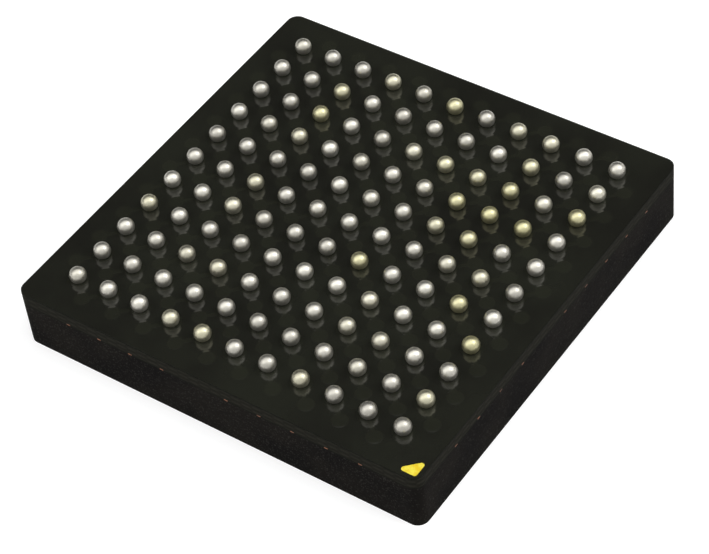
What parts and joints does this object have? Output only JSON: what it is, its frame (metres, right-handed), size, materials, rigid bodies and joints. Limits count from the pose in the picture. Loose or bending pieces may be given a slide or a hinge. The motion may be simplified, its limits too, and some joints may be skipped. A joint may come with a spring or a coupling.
{
  "type": "ball grid array package",
  "caption": "Small square moulded chip package with a full grid of solder balls on one face and a gold triangle marking its first corner.",
  "frame": {"origin": "middle of the moulded face, which the package lies on", "axes": "+Z through the package towards the ball tops; +X towards ball row A; the A1 corner with the gold mark is at +X, -Y"},
  "size_m": [0.008, 0.008, 0.0014],
  "materials": {
    "mould_compound": "sawn and ground epoxy mould compound, near black",
    "solder_mask": "glossy black-green solder mask",
    "laminate": "sawn glass laminate, dark olive",
    "solder": "as-reflowed tin solder, satin with a soft grain",
    "gold": "soft gold",
    "copper": "etched copper foil",
    "silicon": "ground and polished silicon",
    "die_film": "cured adhesive film",
    "plug_resin": "cured hole-plugging resin"
  },
  "bodies": {
    "root": {"mould_cap": "mould_compound", "silicon_die": "silicon", "die_attach_film": "die_film", "bond_wires_east": "gold", "bond_wires_north": "gold", "bond_wires_west": "gold", "bond_wires_south": "gold", "die_side_mask": "solder_mask", "die_side_copper": "copper", "laminate_core": "laminate", "via_barrels": "copper", "via_plugs": "plug_resin", "ball_side_copper": "copper", "ball_side_mask": "solder_mask", "pin_one_mark": "gold", "solder_balls_row_a": "solder", "solder_balls_row_b": "solder", "solder_balls_row_c": "solder", "solder_balls_row_d": "solder", "solder_balls_row_e": "solder", "solder_balls_row_f": "solder", "solder_balls_row_g": "solder", "solder_balls_row_h": "solder", "solder_balls_row_j": "solder", "solder_balls_row_k": "solder", "solder_balls_row_l": "solder"}
  },
  "joints": []
}
